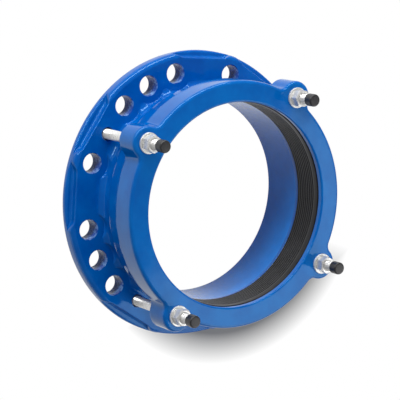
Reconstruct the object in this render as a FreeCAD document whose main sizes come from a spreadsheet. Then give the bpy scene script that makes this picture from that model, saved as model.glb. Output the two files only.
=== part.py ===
import FreeCAD, Part
import math
import os
import re

import Sketcher

# Flange adaptor for pipes of 218 to 235 mm outside diameter, drilled for a DN 200 flange.
# It stands on its mating face: Z is the axis of the bore, and height 0 is the mating face.

# Driving sizes in millimetres, angles in degrees
SIZES = {
    # flange of the body, measured inwards from the rim
    "flange_dia": 340.0,
    "flange_thick": 20.0,
    "rim_round": 2.0,
    "rim_room": 22.5,
    "bolt_hole_dia": 23.0,
    "spot_face_dia": 42.6,
    "extra_hole_turn": 15.0,
    # shallow steps between the bolts, cut into the front of the rim
    "relief_turn": 30.0,
    "relief_width": 8.5,
    "relief_depth": 9.0,
    "relief_length": 74.0,
    "relief_corner": 3.5,
    "relief_foot": 3.0,
    # neck and bell of the body
    "neck_room": 21.5,
    "neck_wall": 8.0,
    "neck_height": 16.0,
    "neck_round": 9.5,
    "flare_width": 9.0,
    "flare_height": 12.0,
    "flare_round": 8.0,
    "seat_rise": 14.0,
    "seat_height": 22.0,
    "seat_step": 2.5,
    "mouth_wall": 5.0,
    # gland ring: a skirt over the bell, a pocket for the gasket's heel and a lip
    "skirt_gap": 0.6,
    "skirt_wall": 7.4,
    "skirt_overlap": 8.0,
    "clamp_travel": 8.0,
    "stop_gap": 2.0,
    "heel_depth": 9.0,
    "lip_thick": 7.0,
    "lip_clear": 0.5,
    "lip_round": 1.0,
    "ring_round": 3.0,
    "lug_dia": 38.0,
    "lug_fillet": 10.0,
    # rubber gasket
    "gasket_reach": 0.3,
    "gasket_gap": 0.3,
    "groove_start": 1.8,
    "groove_depth": 1.0,
    "groove_width": 1.8,
    "groove_pitch": 3.6,
    # clamp bolts
    "clamp_angle": 45.0,
    "clamp_dia": 12.0,
    "clamp_clear": 2.5,
    "flange_hole_room": 1.5,
    "lug_hole_room": 0.5,
    "thread_show": 11.7,
    "tip_bevel": 1.2,
    "head_across": 18.0,
    "head_height": 7.5,
    "head_sunk": 1.5,
    "head_gap": 0.3,
    # washers, nuts and thread caps
    "washer_dia": 24.0,
    "washer_room": 0.5,
    "washer_thick": 2.5,
    "nut_across": 18.0,
    "nut_height": 10.8,
    "bevel_step": 0.45,
    "run_gap": 0.05,
    "cap_side": 1.15,
    "cap_end": 2.0,
    "cap_length": 11.0,
    "cap_round": 2.0,
}

# Radii from the axis of the bore and heights from the mating face, worked out from the sizes
PLACES = {
    "rim_radius": "flange_dia / 2",
    "bolt_radius": "rim_radius - rim_room",
    "neck_radius": "bolt_radius - neck_room",
    "bore_radius": "neck_radius - neck_wall",
    "bell_radius": "neck_radius + flare_width",
    "mouth_radius": "bell_radius - mouth_wall",
    "seat_radius": "bore_radius + seat_step",
    "relief_wall": "rim_radius - relief_width",
    "relief_floor": "flange_thick - relief_depth",
    "neck_top": "flange_thick + neck_height",
    "bell_bottom": "neck_top + flare_height",
    "seat_bottom": "bell_bottom + seat_rise",
    "bell_top": "seat_bottom + seat_height",
    "skirt_radius": "bell_radius + skirt_gap",
    "ring_radius": "skirt_radius + skirt_wall",
    "lip_radius": "bore_radius + lip_clear",
    "ring_back": "bell_top - skirt_overlap",
    "pocket_back": "bell_top + clamp_travel + stop_gap",
    "lip_back": "pocket_back + heel_depth",
    "ring_front": "lip_back + lip_thick",
    "gasket_radius": "bore_radius - gasket_reach",
    "clamp_radius": "bell_radius + clamp_clear + clamp_dia / 2",
    "recess_depth": "head_height + head_sunk",
    "nut_bottom": "ring_front + washer_thick",
    "cap_bottom": "nut_bottom + nut_height + thread_show",
    "clamp_tip": "cap_bottom + cap_length - cap_end",
    "thread_bore_radius": "clamp_dia / 2 + run_gap",
    "cap_radius": "thread_bore_radius + cap_side",
}
CLAMP_COUNT = 4
BOLT_HOLE_COUNT = 12
EXTRA_HOLE_COUNT = 4
GROOVE_COUNT = 6
HEX_SIDES = 6
HEX_HALF_ANGLE = 30.0
FULL_TURN = 360.0

# Names for the sketcher's numbers, and rough values that the sheet then replaces
START, END, CENTRE = 1, 2, 3
ACROSS_AXIS, UP_AXIS = -1, -2
ORIGIN = (-1, 1)
FIRST_GUESS = 1.0
GUESS_CENTRE = 2.0

# A fillet takes at most this share of the wall, or of the rounding, that it runs along
WALL_SHARE = 0.75
FOOT_SHARE = 0.9

TOUCH = 1e-4
PART_FOLDER = "parts"

doc = FreeCAD.newDocument("flange_adaptor")
sheet = doc.addObject("Spreadsheet::Sheet", "Sizes")
cells = [(alias, str(value)) for alias, value in SIZES.items()]
cells += [(alias, f"={formula}") for alias, formula in PLACES.items()]
for row, (alias, content) in enumerate(cells, start=1):
    sheet.set(f"A{row}", alias.replace("_", " "))
    sheet.setAlias(f"B{row}", alias)
    sheet.set(f"B{row}", content)
doc.recompute()


# Small helpers

def bind(target, prop, formula):
    """Tie a property to the sheet; every word with an underscore in the formula is a size."""
    target.setExpression(prop, re.sub(r"\b([a-z]+(?:_[a-z]+)+)\b", r"Sizes.\1", formula))


def size(alias):
    """The value of one size or place."""
    return float(sheet.get(alias))


def plane_of(body, role):
    """One of the body's own origin planes."""
    return next(item for item in body.Origin.OriginFeatures if item.Role == role)


def new_sketch(body, label, role, turn=None, height=None):
    """A sketch on an origin plane, turned about Z by an angle or lifted to a height."""
    sketch = body.newObject("Sketcher::SketchObject", label)
    sketch.AttachmentSupport = [(plane_of(body, role), "")]
    sketch.MapMode = "FlatFace"
    if turn is not None:
        upward = FreeCAD.Vector(0, 0, 1) if role == "XY_Plane" else FreeCAD.Vector(0, 1, 0)
        first_turn = FreeCAD.Rotation(upward, FIRST_GUESS)
        sketch.AttachmentOffset = FreeCAD.Placement(FreeCAD.Vector(), first_turn)
        bind(sketch, "AttachmentOffset.Rotation.Angle", turn)
    if height is not None:
        bind(sketch, "AttachmentOffset.Base.z", height)
    return sketch


def draw_outline(sketch, corners):
    """A closed outline of straight lines; each corner is a pair of formulas, across and up."""
    count = len(corners)
    guesses = []
    for i in range(count):
        angle = 2 * math.pi * i / count
        guesses.append(FreeCAD.Vector(GUESS_CENTRE + math.cos(angle), GUESS_CENTRE + math.sin(angle), 0))
    for i in range(count):
        sketch.addGeometry(Part.LineSegment(guesses[i], guesses[(i + 1) % count]), False)
    for i in range(count):
        sketch.addConstraint(Sketcher.Constraint("Coincident", i, END, (i + 1) % count, START))
    for i, (across, up) in enumerate(corners):
        for kind, formula, axis in (("DistanceX", across, UP_AXIS), ("DistanceY", up, ACROSS_AXIS)):
            if formula == "0":
                sketch.addConstraint(Sketcher.Constraint("PointOnObject", i, START, axis))
            else:
                place = sketch.addConstraint(Sketcher.Constraint(kind, *ORIGIN, i, START, FIRST_GUESS))
                bind(sketch, f"Constraints[{place}]", formula)


def draw_circle(sketch, across, diameter):
    """A circle whose centre lies on the sketch's own horizontal axis."""
    sketch.addGeometry(Part.Circle(FreeCAD.Vector(1, 0, 0), FreeCAD.Vector(0, 0, 1), FIRST_GUESS), False)
    sketch.addConstraint(Sketcher.Constraint("PointOnObject", 0, CENTRE, ACROSS_AXIS))
    place = sketch.addConstraint(Sketcher.Constraint("DistanceX", *ORIGIN, 0, CENTRE, FIRST_GUESS))
    bind(sketch, f"Constraints[{place}]", across)
    width = sketch.addConstraint(Sketcher.Constraint("Diameter", 0, FIRST_GUESS))
    bind(sketch, f"Constraints[{width}]", diameter)


def draw_hexagon(sketch, across, flats):
    """A regular hexagon with its centre and a corner on the sketch's own horizontal axis."""
    corners = []
    reach = f"({flats}) / 2 / cos({HEX_HALF_ANGLE})"
    for i in range(HEX_SIDES):
        angle = HEX_HALF_ANGLE * 2 * i
        corners.append((f"{across} + {reach} * cos({angle})", f"{reach} * sin({angle})"))
    draw_outline(sketch, corners)


def turned_body(label, corners):
    """A body turned about Z from an outline of radius and height."""
    body = doc.addObject("PartDesign::Body", label)
    sketch = new_sketch(body, f"{label}_outline", "XZ_Plane")
    draw_outline(sketch, corners)
    turned = body.newObject("PartDesign::Revolution", f"{label}_turned")
    turned.Profile = sketch
    turned.ReferenceAxis = (sketch, ["V_Axis"])
    turned.Angle = FULL_TURN
    doc.recompute()
    return body


def extrude(body, kind, sketch, length, upward=True, both_ways=False):
    """A pad or a pocket of a sketch; upward is along the sketch's own normal."""
    feature = body.newObject(f"PartDesign::{kind}", f"{sketch.Label}_{kind.lower()}")
    feature.Profile = sketch
    if both_ways:
        feature.SideType = "Symmetric"
    else:
        feature.Reversed = upward != (kind == "Pad")
    bind(feature, "Length", length)
    doc.recompute()
    return feature


def around_axis(body, features, axis_sketch, axis, count):
    """Equal copies of features round the axis."""
    pattern = body.newObject("PartDesign::PolarPattern", f"{features[0].Label}_copies")
    pattern.Originals = features
    pattern.Axis = (axis_sketch, [axis])
    pattern.Angle = FULL_TURN
    pattern.Occurrences = count
    body.Tip = pattern
    doc.recompute()
    return pattern


def round_edges(body, label, wanted, radius):
    """A fillet on the edges of the body that the test picks."""
    base = body.Tip
    names = [f"Edge{i}" for i, edge in enumerate(base.Shape.Edges, start=1) if wanted(edge)]
    if not names:
        raise RuntimeError(f"{label}: no edge to round")
    fillet = body.newObject("PartDesign::Fillet", label)
    fillet.Base = (base, names)
    bind(fillet, "Radius", radius)
    body.Tip = fillet
    doc.recompute()
    return fillet


def ring_edge(radius, height):
    """A test for circles round Z of one radius at one height."""
    def test(edge):
        curve = edge.Curve
        if not isinstance(curve, Part.Circle) or math.hypot(curve.Center.x, curve.Center.y) > TOUCH:
            return False
        return abs(curve.Radius - radius) < TOUCH and abs(curve.Center.z - height) < TOUCH
    return test


def upright_edge(edge, radius):
    """Whether an edge is a straight line parallel to Z at a radius."""
    ends = edge.Vertexes
    if not isinstance(edge.Curve, Part.Line) or len(ends) != 2:
        return False
    upright = abs(ends[0].X - ends[1].X) < TOUCH and abs(ends[0].Y - ends[1].Y) < TOUCH
    return upright and abs(math.hypot(ends[0].X, ends[0].Y) - radius) < TOUCH


def flat_edge(edge, heights):
    """Whether an edge lies flat at one of some heights."""
    box = edge.BoundBox
    return any(abs(box.ZMin - height) < TOUCH and abs(box.ZMax - height) < TOUCH for height in heights)


def middle_radius(edge):
    """How far the middle of an edge is from Z."""
    middle = edge.valueAt((edge.FirstParameter + edge.LastParameter) / 2)
    return math.hypot(middle.x, middle.y)


def any_of(*tests):
    """A test that passes where one of several does."""
    return lambda edge: any(test(edge) for test in tests)


def set_at_clamp(part, index, height):
    """Stand a part on the axis of one clamp bolt, at a height."""
    angle = f"clamp_angle + {index} * {FULL_TURN / CLAMP_COUNT}"
    first_turn = FreeCAD.Rotation(FreeCAD.Vector(0, 0, 1), FIRST_GUESS)
    part.Placement = FreeCAD.Placement(FreeCAD.Vector(), first_turn)
    bind(part, "Placement.Base.x", f"clamp_radius * cos({angle})")
    bind(part, "Placement.Base.y", f"clamp_radius * sin({angle})")
    bind(part, "Placement.Base.z", height)
    bind(part, "Placement.Rotation.Angle", angle)
    return part


# Flange body: one casting of flange, neck and bell

def drill_flange(body, kind, diameter, depth, upward):
    """Cut one kind of round hole at all the flange bolts, from the front of the flange.

    The bolts stand in a pattern of twelve, and four extra ones make a pattern of eight with
    four of the twelve.
    """
    drillings = (("twelve", "0", BOLT_HOLE_COUNT), ("extra", "extra_hole_turn", EXTRA_HOLE_COUNT))
    for name, turn, count in drillings:
        hole = new_sketch(body, f"{kind}_{name}", "XY_Plane", turn=turn, height="flange_thick")
        draw_circle(hole, "bolt_radius", diameter)
        cut = extrude(body, "Pocket", hole, depth, upward=upward)
        around_axis(body, [cut], hole, "N_Axis", count)


def flange_body():
    body = turned_body("flange_body", [
        ("bore_radius", "0"),
        ("rim_radius", "0"),
        ("rim_radius", "flange_thick"),
        ("neck_radius", "flange_thick"),
        ("neck_radius", "neck_top"),
        ("bell_radius", "bell_bottom"),
        ("bell_radius", "bell_top"),
        ("mouth_radius", "bell_top"),
        ("seat_radius", "seat_bottom"),
        ("bore_radius", "seat_bottom"),
    ])
    round_edges(body, "neck_root", ring_edge(size("neck_radius"), size("flange_thick")), "neck_round")
    flare_ends = any_of(ring_edge(size("neck_radius"), size("neck_top")),
                        ring_edge(size("bell_radius"), size("bell_bottom")))
    round_edges(body, "flare_rounding", flare_ends, "flare_round")

    # room for the nuts of the flange bolts, scooped out of the root of the neck
    drill_flange(body, "spot_face", "spot_face_dia", "neck_height", upward=True)

    # a step in the rim beside each clamp bolt and another further round, then the rounded rim
    reliefs = []
    for name, turn in (("relief_at_clamp", "clamp_angle"), ("relief_between", "clamp_angle + relief_turn")):
        step = new_sketch(body, name, "XZ_Plane", turn=turn)
        draw_outline(step, [
            ("relief_wall", "flange_thick"),
            ("relief_wall", "relief_floor"),
            ("rim_radius + rim_round", "relief_floor"),
            ("rim_radius + rim_round", "flange_thick"),
        ])
        reliefs.append(extrude(body, "Pocket", step, "relief_length", both_ways=True))
    around_axis(body, reliefs, reliefs[0].Profile[0], "V_Axis", CLAMP_COUNT)
    corner = math.hypot(size("relief_wall"), size("relief_length") / 2)
    rim = size("rim_radius")
    levels = (0, size("relief_floor"), size("flange_thick"))
    end_wall = "(sqrt(rim_radius ^ 2 - (relief_length / 2) ^ 2) - relief_wall)"
    corner_round = f"min(relief_corner; {WALL_SHARE} * {end_wall})"
    round_edges(body, "relief_corners", lambda edge: upright_edge(edge, corner), corner_round)
    foot_round = f"min(relief_foot; {FOOT_SHARE} * {corner_round})"
    round_edges(body, "relief_feet", lambda edge: flat_edge(edge, levels[1:2])
                and middle_radius(edge) < rim - TOUCH, foot_round)
    round_edges(body, "rim_rounding", lambda edge: flat_edge(edge, levels)
                and middle_radius(edge) > rim - TOUCH, "rim_round")

    drill_flange(body, "bolt_hole", "bolt_hole_dia", "flange_thick", upward=False)

    # through holes and hexagonal recesses of the clamp bolts
    clear = new_sketch(body, "clamp_hole", "XY_Plane", turn="clamp_angle", height="flange_thick")
    draw_circle(clear, "clamp_radius", "clamp_dia + 2 * flange_hole_room")
    hole = extrude(body, "Pocket", clear, "flange_thick", upward=False)
    recess = new_sketch(body, "head_recess", "XY_Plane", turn="clamp_angle")
    draw_hexagon(recess, "clamp_radius", "head_across + 2 * head_gap")
    seat = extrude(body, "Pocket", recess, "recess_depth", upward=True)
    around_axis(body, [hole, seat], clear, "N_Axis", CLAMP_COUNT)
    return body


# Gland ring: one casting of a deep ring and four lugs

def gland_ring():
    body = turned_body("gland_ring", [
        ("lip_radius", "ring_back"),
        ("ring_radius", "ring_back"),
        ("ring_radius", "ring_front"),
        ("lip_radius", "ring_front"),
    ])
    lug = new_sketch(body, "lug", "XY_Plane", turn="clamp_angle", height="ring_back")
    draw_circle(lug, "clamp_radius", "lug_dia")
    pad = extrude(body, "Pad", lug, "ring_front - ring_back")
    around_axis(body, [pad], lug, "N_Axis", CLAMP_COUNT)
    round_edges(body, "lug_blend", lambda edge: upright_edge(edge, size("ring_radius")), "lug_fillet")
    ends = (size("ring_back"), size("ring_front"))
    outside = size("lip_radius") + TOUCH
    round_edges(body, "outer_rounding", lambda edge: flat_edge(edge, ends)
                and middle_radius(edge) > outside, "ring_round")

    # skirt that slides over the bell, and the pocket that holds the heel of the gasket
    inside = new_sketch(body, "skirt", "XZ_Plane")
    draw_outline(inside, [
        ("lip_radius", "ring_back"),
        ("skirt_radius", "ring_back"),
        ("skirt_radius", "pocket_back"),
        ("mouth_radius + skirt_gap", "pocket_back"),
        ("mouth_radius + skirt_gap", "lip_back"),
        ("lip_radius", "lip_back"),
    ])
    groove = body.newObject("PartDesign::Groove", "skirt_turned")
    groove.Profile = inside
    groove.ReferenceAxis = (inside, ["V_Axis"])
    groove.Angle = FULL_TURN
    doc.recompute()
    round_edges(body, "lip_rounding", ring_edge(size("lip_radius"), size("ring_front")), "lip_round")

    hole = new_sketch(body, "lug_hole", "XY_Plane", turn="clamp_angle", height="ring_front")
    draw_circle(hole, "clamp_radius", "clamp_dia + 2 * lug_hole_room")
    drilled = extrude(body, "Pocket", hole, "ring_front - ring_back", upward=False)
    around_axis(body, [drilled], hole, "N_Axis", CLAMP_COUNT)
    return body


# Gasket: a rubber wedge with grooves round the nose half of its bore, which leave fine ribs

def gasket():
    nose = "seat_bottom + gasket_gap"
    heel = "lip_back - gasket_gap"
    corners = [
        ("gasket_radius", heel),
        ("mouth_radius - gasket_gap", heel),
        ("mouth_radius - gasket_gap", "bell_top + gasket_gap"),
        ("seat_radius - gasket_gap", nose),
        ("gasket_radius", nose),
    ]
    for i in range(GROOVE_COUNT):
        start = f"{nose} + groove_start + {i} * groove_pitch"
        corners.append(("gasket_radius", start))
        corners.append(("gasket_radius + groove_depth", f"{start} + groove_width / 2"))
        corners.append(("gasket_radius", f"{start} + groove_width"))
    return turned_body("gasket", corners)


# Clamp bolt: hexagonal head, shank and bevelled tip, with the thread left smooth

def hexagon(label, across, height):
    """A hexagonal prism on Z."""
    prism = doc.addObject("Part::Prism", label)
    prism.Polygon = HEX_SIDES
    bind(prism, "Circumradius", f"{across} / 2 / cos({HEX_HALF_ANGLE})")
    bind(prism, "Height", height)
    return prism


def bevel_cone(label, across, height, widening):
    """A cone that bevels one face of a hexagon; it opens upwards, or downwards if not widening."""
    cone = doc.addObject("Part::Cone", label)
    narrow = f"{across} / 2 - bevel_step"
    wide = f"{narrow} + {height} / tan({HEX_HALF_ANGLE})"
    bind(cone, "Radius1", narrow if widening else wide)
    bind(cone, "Radius2", wide if widening else narrow)
    bind(cone, "Height", height)
    return cone


def joined(kind, label, shapes):
    """A fuse or a common of several shapes."""
    result = doc.addObject(f"Part::{kind}", label)
    result.Shapes = shapes
    return result


def clamp_bolt(index):
    label = f"clamp_bolt_{index + 1}"
    head = joined("MultiCommon", f"{label}_head", [
        hexagon(f"{label}_hexagon", "head_across", "head_height"),
        bevel_cone(f"{label}_bevel", "head_across", "head_height", widening=True),
    ])
    shank = doc.addObject("Part::Cylinder", f"{label}_shank")
    bind(shank, "Radius", "clamp_dia / 2")
    bind(shank, "Height", "clamp_tip - recess_depth - tip_bevel")
    bind(shank, "Placement.Base.z", "head_height")
    tip = doc.addObject("Part::Cone", f"{label}_tip")
    bind(tip, "Radius1", "clamp_dia / 2")
    bind(tip, "Radius2", "clamp_dia / 2 - tip_bevel")
    bind(tip, "Height", "tip_bevel")
    bind(tip, "Placement.Base.z", "clamp_tip - head_sunk - tip_bevel")
    bolt = joined("MultiFuse", label, [head, shank, tip])
    bolt.Refine = True
    return set_at_clamp(bolt, index, "head_sunk")


def washer(index):
    body = turned_body(f"washer_{index + 1}", [
        ("clamp_dia / 2 + washer_room", "0"),
        ("washer_dia / 2", "0"),
        ("washer_dia / 2", "washer_thick"),
        ("clamp_dia / 2 + washer_room", "washer_thick"),
    ])
    return set_at_clamp(body, index, "ring_front")


def nut(index):
    label = f"nut_{index + 1}"
    blank = joined("MultiCommon", f"{label}_blank", [
        hexagon(f"{label}_hexagon", "nut_across", "nut_height"),
        bevel_cone(f"{label}_lower_bevel", "nut_across", "nut_height", widening=True),
        bevel_cone(f"{label}_upper_bevel", "nut_across", "nut_height", widening=False),
    ])
    bore = doc.addObject("Part::Cylinder", f"{label}_bore")
    bind(bore, "Radius", "thread_bore_radius")
    bind(bore, "Height", "nut_height")
    result = doc.addObject("Part::Cut", label)
    result.Base = blank
    result.Tool = bore
    return set_at_clamp(result, index, "nut_bottom")


def thread_cap(index):
    label = f"thread_cap_{index + 1}"
    body = turned_body(label, [
        ("thread_bore_radius", "0"),
        ("cap_radius", "0"),
        ("cap_radius", "cap_length"),
        ("0", "cap_length"),
        ("0", "cap_length - cap_end"),
        ("thread_bore_radius", "cap_length - cap_end"),
    ])
    round_edges(body, f"{label}_rounding", ring_edge(size("cap_radius"), size("cap_length")), "cap_round")
    return set_at_clamp(body, index, "cap_bottom")


# The whole adaptor

nodes = [flange_body(), gland_ring(), gasket()]
for make in (clamp_bolt, washer, nut, thread_cap):
    nodes += [make(index) for index in range(CLAMP_COUNT)]
doc.recompute()

for item in doc.Objects:
    if "Invalid" in item.State or "Error" in item.State:
        raise RuntimeError(f"{item.Label} failed: {item.State}")
for node in nodes:
    if node.Shape.isNull() or not node.Shape.isValid() or len(node.Shape.Solids) != 1:
        raise RuntimeError(f"{node.Label} is not one sound solid")

os.makedirs(PART_FOLDER, exist_ok=True)
for node in nodes:
    node.Shape.exportStep(f"{PART_FOLDER}/{node.Label}.step")
    print(f"{node.Label}: {node.Shape.Volume:.0f} mm3")
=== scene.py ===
import logging
import math
from collections.abc import Iterable, Sequence
from dataclasses import dataclass, field
from enum import Enum, IntEnum

import bmesh
import bpy
import numpy as np
from mathutils import Matrix
from mathutils.geometry import delaunay_2d_cdt


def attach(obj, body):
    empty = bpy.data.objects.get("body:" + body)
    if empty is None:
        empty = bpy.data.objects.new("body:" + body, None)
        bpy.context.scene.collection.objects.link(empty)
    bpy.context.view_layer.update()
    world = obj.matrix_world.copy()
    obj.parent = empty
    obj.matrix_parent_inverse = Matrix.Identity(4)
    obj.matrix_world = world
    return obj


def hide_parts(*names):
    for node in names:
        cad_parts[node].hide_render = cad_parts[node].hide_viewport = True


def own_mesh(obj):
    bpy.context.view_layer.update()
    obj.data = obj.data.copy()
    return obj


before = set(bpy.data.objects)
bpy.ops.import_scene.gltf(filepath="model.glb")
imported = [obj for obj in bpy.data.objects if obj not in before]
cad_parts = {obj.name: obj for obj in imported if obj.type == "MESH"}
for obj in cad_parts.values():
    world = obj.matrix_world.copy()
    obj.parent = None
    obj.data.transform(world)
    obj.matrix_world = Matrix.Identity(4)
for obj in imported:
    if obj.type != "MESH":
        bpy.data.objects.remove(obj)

log = logging.getLogger("adaptor")

# Sizes of pieces are in millimetres, the studio's in metres, and angles in degrees.

Pair = tuple[float, float]
Triple = tuple[float, float, float]
Socket = bpy.types.NodeSocket

MM = 0.001               # metres in a millimetre
WELD = 2e-6              # metres within which two points of a piece become one
NET_TOLERANCE = 1e-6     # millimetres within which a flat net joins points
WHOLE_HULL = 0           # kind of flat net: triangles over all that the loops span
NET_BLOCKS = 16          # parts in which a net is sorted, so that its tables stay small
FULL_TURN = 360.0
HALF_TURN = 180.0
QUARTER_TURN = 90.0
QUARTERS = (0.0, 90.0, 180.0, 270.0)
HEX_TURN = 60.0          # angle from one corner of a hexagon to the next
HEX_HALF = 30.0
ANGLE_DIGITS = 6         # decimals by which two columns are told apart
FAR = 1e3                # a radius beyond any piece
RUN_ON = 3.0             # how far a profile runs past its last corner, to be cut off there
WHITE = (1.0, 1.0, 1.0, 1.0)
SPREAD = (0.3, 0.7)      # values between which most of a noise lies
COLOUR_A, COLOUR_B, COLOUR_OUT = 6, 7, 2    # sockets of a Mix node that hold colours


class Columns(IntEnum):
    """How many columns a turned surface has."""

    RING = 360
    HEXAGON = 96
    SMALL_RING = 72
    FLANGE_HOLE = 56
    LUG_HOLE = 48
    SHANK = 36


class Coat(IntEnum):
    """Which of a piece's finishes a patch wears, numbered in the order in which it gets them."""

    OUTSIDE = 0
    HOLE = 1
    BORE = 2


# Numbers and curves

def evenly(count: int) -> np.ndarray:
    """Equal angles round a full turn, in degrees."""
    return np.arange(count) * FULL_TURN / count


def signed(angles: np.ndarray) -> np.ndarray:
    """The same directions as angles from -180 to 180 degrees."""
    return (angles + HALF_TURN) % FULL_TURN - HALF_TURN


def from_nearest(angles: np.ndarray, turns: Sequence[float]) -> np.ndarray:
    """How far angles lie from the nearest of some directions.

    Args:
        angles: The angles.
        turns: The directions.

    Returns:
        For each angle, its signed distance from the nearest direction, in degrees.
    """
    away = signed(angles[:, None] - np.array(turns))
    return away[np.arange(len(angles)), np.argmin(np.abs(away), axis=1)]


def directions(turns: np.ndarray) -> np.ndarray:
    """Unit vectors at angles in radians, as rows of x and y."""
    return np.stack([np.cos(turns), np.sin(turns)], axis=1)


def circle(radius: float, count: int, centre: Pair) -> np.ndarray:
    """Points of a circle as rows of x and y, without a repeat of the first."""
    return np.array(centre) + radius * directions(np.radians(evenly(count)))


def smooth_min(a: np.ndarray, b: np.ndarray, blend: float) -> np.ndarray:
    """The lower of two arrays with the crease between them rounded off.

    Formula: min(a, b) less blend/4 times the square of how close they are, as a share of blend.

    Args:
        a: First values.
        b: Second values.
        blend: Width of the rounded zone, in the unit of the values.

    Returns:
        The rounded minimum.
    """
    near = np.maximum(blend - np.abs(a - b), 0.0) / blend
    return np.minimum(a, b) - near * near * blend / 4.0


def smooth_step(low: float, high: float, value: np.ndarray) -> np.ndarray:
    """A ramp from 0 at low to 1 at high that is level at both ends: 3 t squared less 2 t cubed."""
    share = np.clip((value - low) / (high - low), 0.0, 1.0)
    return share * share * (3.0 - 2.0 * share)


def quarter_round(steps: int) -> tuple[np.ndarray, np.ndarray]:
    """A quarter circle of radius 1 from (0, 0), where it runs along the first axis, to (1, 1).

    Formula: sine of the angle, and 1 less its cosine, for equal angles from 0 to 90 degrees.

    Args:
        steps: How many chords the quarter has.

    Returns:
        Distances along the first axis and along the second.
    """
    angle = np.linspace(0.0, math.pi / 2, steps + 1)
    return np.sin(angle), 1.0 - np.cos(angle)


def rounded(corners: Sequence[Triple], steps: int = 4) -> np.ndarray:
    """A line of straight runs whose corners are arcs.

    Formula: each arc touches both runs at radius times the tangent of half the turn from the
    corner, and its points lie at equal angles round its centre.

    Args:
        corners: First value, second value and arc radius of each corner; 0 keeps it sharp.
        steps: How many chords an arc has.

    Returns:
        Points of the line, as rows of two values.
    """
    line: list[np.ndarray] = []
    places = np.array([corner[:2] for corner in corners], float)
    for i, (place, radius) in enumerate(zip(places, (corner[2] for corner in corners))):
        if radius <= 0.0 or i in (0, len(corners) - 1):
            line.append(place[None])
            continue
        back = places[i - 1] - place
        ahead = places[i + 1] - place
        back, ahead = back / np.linalg.norm(back), ahead / np.linalg.norm(ahead)
        half = math.acos(max(-1.0, min(1.0, float(back @ ahead)))) / 2.0
        reach = radius / math.tan(half)
        inward = (back + ahead) / np.linalg.norm(back + ahead)
        centre = place + inward * (radius / math.sin(half))
        first, last = place + back * reach - centre, place + ahead * reach - centre
        sweep = math.pi - 2.0 * half
        share = np.linspace(0.0, 1.0, steps + 1)[:, None]
        line.append(centre + (np.sin((1.0 - share) * sweep) * first + np.sin(share * sweep) * last)
                    / math.sin(sweep))
    return np.concatenate(line)


def hexagon(columns: np.ndarray, half: float, turn: float, ease: float, blend: float) -> np.ndarray:
    """Radii of a hexagon with eased corners.

    Formula: half the width over the cosine of the angle to the nearest flat, held to a circle a
    little inside the corners.

    Args:
        columns: Angles at which the radii are wanted.
        half: Half the width across the flats.
        turn: Angle of one corner.
        ease: How far the circle lies inside the corners.
        blend: Width of the rounding between a flat and the circle.

    Returns:
        The radii.
    """
    away = (columns - turn) % HEX_TURN - HEX_HALF
    flats = half / np.cos(np.radians(away))
    corner = np.full(columns.shape, half / math.cos(math.radians(HEX_HALF)) - ease)
    return smooth_min(flats, corner, blend)


# Surfaces

def turned(radii: np.ndarray, heights: np.ndarray, angles: np.ndarray,
           centre: Pair = (0.0, 0.0)) -> np.ndarray:
    """A grid round an upright axis.

    Formula: x and y are the centre plus the radius times the cosine and sine of the angle.

    Args:
        radii: Radii of each row, or of each row and column.
        heights: Heights of each row, or of each row and column.
        angles: Angle of each column.
        centre: Where the axis stands.

    Returns:
        Array of rows, columns and x, y, z.
    """
    turn = np.radians(angles)[None, :]
    radii = radii if radii.ndim == 2 else radii[:, None]
    heights = heights if heights.ndim == 2 else heights[:, None]
    x, y = centre[0] + radii * np.cos(turn), centre[1] + radii * np.sin(turn)
    return np.stack(np.broadcast_arrays(x, y, heights), axis=-1)


class Shade(Enum):
    """How the faces of a patch are shaded."""

    SMOOTH = True
    FLAT = False


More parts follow.
